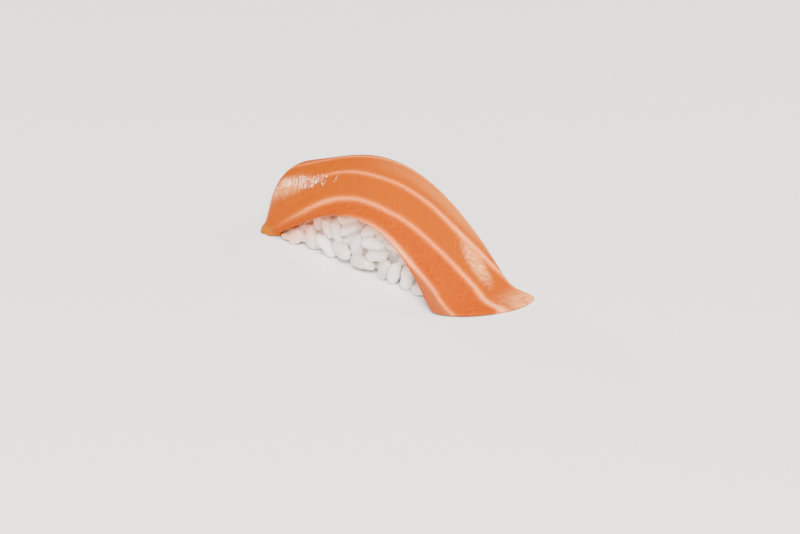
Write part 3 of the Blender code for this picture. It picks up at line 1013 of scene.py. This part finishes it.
def grains_tree(material):
    """Geometry nodes that set a plump grain on each point, as real mesh, together with the core."""
    tree = bpy.data.node_groups.new("rice_grains", "GeometryNodeTree")
    tree.interface.new_socket("Places", in_out="INPUT", socket_type="NodeSocketGeometry")
    for name, value in (
        ("Grain length", PLUMP_LENGTH),
        ("Grain width", PLUMP_WIDTH),
        ("Grain depth", PLUMP_DEPTH),
    ):
        socket = tree.interface.new_socket(name, in_out="INPUT", socket_type="NodeSocketFloat")
        socket.default_value = value * MM
    tree.interface.new_socket("Core", in_out="INPUT", socket_type="NodeSocketObject")
    tree.interface.new_socket("Rice", in_out="OUTPUT", socket_type="NodeSocketGeometry")
    given = put(tree, "NodeGroupInput").outputs
    ball = put(tree, "GeometryNodeMeshUVSphere", {"Segments": 16, "Rings": 12, "Radius": 0.5})
    lying = put(tree, "GeometryNodeTransform", {
        "Geometry": ball.outputs["Mesh"],
        "Rotation": (0.0, math.pi / 2.0, 0.0),
    })

    # blunt ends: at a fraction f of half its length, the ball's girth grows by the square root of
    # (1 + f + ff) / (1 + f)
    where = put(tree, "GeometryNodeInputPosition").outputs[0]
    outwards = put(tree, "ShaderNodeSeparateXYZ", {0: where}).outputs["X"]
    outwards = calculate(tree, "MULTIPLY", calculate(tree, "ABSOLUTE", outwards), 2.0)
    divisor = calculate(tree, "ADD", outwards, 1.0)
    dividend = calculate(tree, "MULTIPLY_ADD", outwards, outwards, divisor)
    girth = calculate(tree, "SQRT", calculate(tree, "DIVIDE", dividend, divisor))
    girths = put(tree, "ShaderNodeCombineXYZ", {"X": 1.0, "Y": girth, "Z": girth})
    inputs = {0: where, 1: girths.outputs[0]}
    blunt = put(tree, "ShaderNodeVectorMath", inputs, operation="MULTIPLY")
    lying = put(tree, "GeometryNodeSetPosition", {
        "Geometry": lying.outputs[0],
        "Position": blunt.outputs[0],
    })
    sizes = put(tree, "ShaderNodeCombineXYZ", {
        "X": given["Grain length"],
        "Y": given["Grain width"],
        "Z": given["Grain depth"],
    })
    grain = put(tree, "GeometryNodeTransform", {
        "Geometry": lying.outputs[0],
        "Scale": sizes.outputs[0],
    })

    # a grain on each point, turned and sized by what the point carries
    named = "GeometryNodeInputNamedAttribute"
    turn = put(tree, named, {"Name": "turn"}, data_type="FLOAT_VECTOR")
    turn = put(tree, "FunctionNodeEulerToRotation", {"Euler": turn.outputs[0]})
    size = put(tree, named, {"Name": "size"}, data_type="FLOAT")
    spread = put(tree, "GeometryNodeInstanceOnPoints", {
        "Points": given["Places"],
        "Instance": grain.outputs[0],
        "Rotation": turn.outputs[0],
        "Scale": size.outputs[0],
    })
    real = put(tree, "GeometryNodeRealizeInstances", {"Geometry": spread.outputs[0]})

    # uneven grains, joined with the core
    spot = put(tree, "GeometryNodeInputPosition").outputs[0]
    lumps = put(tree, "ShaderNodeTexNoise", {"Vector": spot, "Scale": 480.0, "Detail": 1.0})
    uneven = put(tree, "GeometryNodeSetPosition", {
        "Geometry": real.outputs[0],
        "Offset": pushed(tree, lumps, GRAIN_LUMPS * MM),
    })
    core = put(tree, "GeometryNodeObjectInfo", {"Object": given["Core"]})
    whole = put(tree, "GeometryNodeJoinGeometry", {"Geometry": uneven.outputs[0]})
    tree.links.new(core.outputs["Geometry"], whole.inputs["Geometry"])
    rounded = put(tree, "GeometryNodeSetShadeSmooth", {"Geometry": whole.outputs[0]})
    dressed = put(tree, "GeometryNodeSetMaterial", {
        "Geometry": rounded.outputs[0],
        "Material": material,
    })
    put(tree, "NodeGroupOutput", {"Rice": dressed.outputs[0]})
    return tree


def mesh_points(mesh):
    """The points of a mesh, in metres."""
    spots = np.zeros(len(mesh.vertices) * 3)
    mesh.vertices.foreach_get("co", spots)
    return spots.reshape(-1, 3)


def crevice_depth(mesh):
    """How deep in millimetres each point lies in a crease between grains, below 0 on a bulge."""
    spots = mesh_points(mesh)
    count = len(spots)
    normals = np.zeros(count * 3)
    mesh.vertex_normals.foreach_get("vector", normals)
    ends = np.zeros(len(mesh.edges) * 2, np.int32)
    mesh.edges.foreach_get("vertices", ends)
    first, second = ends[0::2], ends[1::2]
    neighbours = np.bincount(ends, minlength=count)[:, None]
    even = spots
    for _ in range(CREVICE_ROUNDS):
        total = np.stack([
            np.bincount(first, even[second, axis], count)
            + np.bincount(second, even[first, axis], count)
            for axis in range(3)
        ], axis=1)
        even = (even + total / neighbours) / 2.0
    return ((even - spots) * normals.reshape(-1, 3)).sum(axis=1) / MM


def grain_tones(mesh, places, shift):
    """How milky the rice is at each point: one tone for all of the nearest grain."""
    spots = mesh_points(mesh) / MM - shift
    nearest = np.full(len(spots), np.inf)
    tones = np.zeros(len(spots))
    for index, (turns, middle, size) in enumerate(places):
        axis = np.array(Euler(turns, "XYZ").to_matrix())[:, 0]
        half = (PLUMP_LENGTH - PLUMP_WIDTH) * size / 2.0
        on_spine = np.clip((spots - middle) @ axis, -half, half)[:, None] * axis
        apart = np.linalg.norm(spots - middle - on_spine, axis=1) / size
        closer = apart < nearest
        nearest[closer] = apart[closer]
        tones[closer] = random.Random(TONE_SEED + index).uniform(0.0, 1.0)
    return tones


def fish_bounce_light(mesh, body):
    """How much painted bounce light from the fish the rice takes at each point, most where it lies
    closest.
    """
    apart = [body.find_nearest(vertex.co)[3] / MM for vertex in mesh.vertices]
    return FISH_BOUNCE_DEPTH * smooth(1.0 - np.array(apart) / FISH_BOUNCE_REACH)


def applied(holder):
    """The mesh that an object's modifiers make of it. They are taken off again."""
    depsgraph = bpy.context.evaluated_depsgraph_get()
    made = bpy.data.meshes.new_from_object(holder.evaluated_get(depsgraph))
    holder.modifiers.clear()
    return made


def make_rice(slice_piece, shift):
    """The bed: grains on its own core, clear of the slice."""
    body = BVHTree.FromObject(slice_piece, bpy.context.evaluated_depsgraph_get())
    places = wall_grains(body, shift) + end_grains(body, shift) + floor_grains()
    core = make_core(shift)
    mesh = bpy.data.meshes.new("grain_places")
    mesh.from_pydata([tuple((middle + shift) * MM) for _, middle, _ in places], [], [])
    turns = np.array([turns for turns, _, _ in places], np.float32)
    mesh.attributes.new("turn", "FLOAT_VECTOR", "POINT").data.foreach_set("vector", turns.ravel())
    carry(mesh, "size", [size for _, _, size in places])
    holder = add_object("grain_places", mesh)
    material = cooked_rice()
    modifier = holder.modifiers.new("rice_grains", "NODES")
    modifier.node_group = grains_tree(material)
    for item in modifier.node_group.interface.items_tree:
        if item.name == "Core":
            modifier[item.identifier] = core
    holder.data = applied(holder)
    bpy.data.objects.remove(core, do_unlink=True)

    # starch draws touching grains into one body
    stick = holder.modifiers.new("stick", "REMESH")
    stick.mode = "VOXEL"
    stick.voxel_size = STARCH_VOXEL * MM
    stick.use_smooth_shade = True
    soften = holder.modifiers.new("soften", "SMOOTH")
    soften.factor = 0.5
    soften.iterations = STARCH_SOFTENING
    made = applied(holder)
    bpy.data.objects.remove(holder, do_unlink=True)
    made.name = "rice_bed"
    made.materials.clear()
    made.materials.append(material)
    for vertex in made.vertices:
        vertex.co.z = max(vertex.co.z, 0.0)
    carry(made, "crevice", crevice_depth(made))
    carry(made, "tone", grain_tones(made, places, shift))
    carry(made, "fish_bounce", fish_bounce_light(made, body))
    return finished("rice_bed", made, "rice")


def direction(turn, rise):
    """The way out at an angle round from the near side and up, both in radians."""
    level = math.cos(rise)
    return Vector((math.sin(turn) * level, -math.cos(turn) * level, math.sin(rise)))


def make_studio():
    """Pale floor and soft lights."""
    bpy.ops.mesh.primitive_plane_add(size=FLOOR_SIZE, location=(0.0, 0.0, 0.0))
    floor = bpy.context.object
    floor.name = "floor"
    material, tree = new_material("pale_floor")
    shader = put(tree, "ShaderNodeBsdfPrincipled", {"Base Color": linear(WHITE), "Roughness": 0.6})
    put(tree, "ShaderNodeOutputMaterial", {"Surface": shader.outputs[0]})
    floor.data.materials.append(material)
    world = bpy.data.worlds.new("studio")
    world.use_nodes = True
    background = world.node_tree.nodes["Background"].inputs
    background["Color"].default_value = linear(WHITE)
    background["Strength"].default_value = WORLD_STRENGTH
    bpy.context.scene.world = world
    for name, turn, rise, away, wide, high, power, colour in LIGHTS:
        light = bpy.data.lights.new(name, "AREA")
        light.shape = "RECTANGLE"
        light.size = wide
        light.size_y = high
        light.energy = power
        light.color = linear(colour)[:3]
        lamp = add_object(name, light)
        towards = direction(math.radians(turn), math.radians(rise))
        lamp.location = towards * away
        lamp.rotation_euler = towards.to_track_quat("Z", "Y").to_euler()


def make_camera(shift):
    """The photograph's view, in the fitted frame and then moved with the piece."""
    turn = math.radians(CAMERA_TURN)
    roll = math.radians(CAMERA_ROLL)
    back = direction(turn, math.radians(CAMERA_RISE))
    level = Vector((math.cos(turn), math.sin(turn), 0.0))
    upright = back.cross(level)
    right = level * math.cos(roll) + upright * math.sin(roll)
    up = upright * math.cos(roll) - level * math.sin(roll)
    place = right * CAMERA_RIGHT + up * CAMERA_UP + back * CAMERA_BACK
    place = (place - Vector(FIT_MIDDLE)) * FIT_UNIT + Vector(shift)
    view = bpy.data.cameras.new("camera")
    view.lens = CAMERA_LENS
    view.clip_end = CAMERA_CLIP_END
    camera = add_object("camera", view)
    axes = Matrix((right, up, back)).transposed().to_4x4()
    camera.matrix_world = Matrix.Translation(place * MM) @ axes
    bpy.context.scene.camera = camera


def main():
    """Build the studio and the two pieces."""
    for old in list(bpy.data.objects):
        bpy.data.objects.remove(old, do_unlink=True)
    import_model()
    _, _, outer, under, _ = solid_faces()
    corners = np.concatenate([outer.reshape(-1, 3), under.reshape(-1, 3)])
    low, high = corners.min(axis=0), corners.max(axis=0)
    shift = np.array([-(low[0] + high[0]) / 2.0, -(low[1] + high[1]) / 2.0, 0.0])
    make_studio()
    make_camera(shift)
    slice_piece = make_slice(shift)
    make_rice(slice_piece, shift)


main()
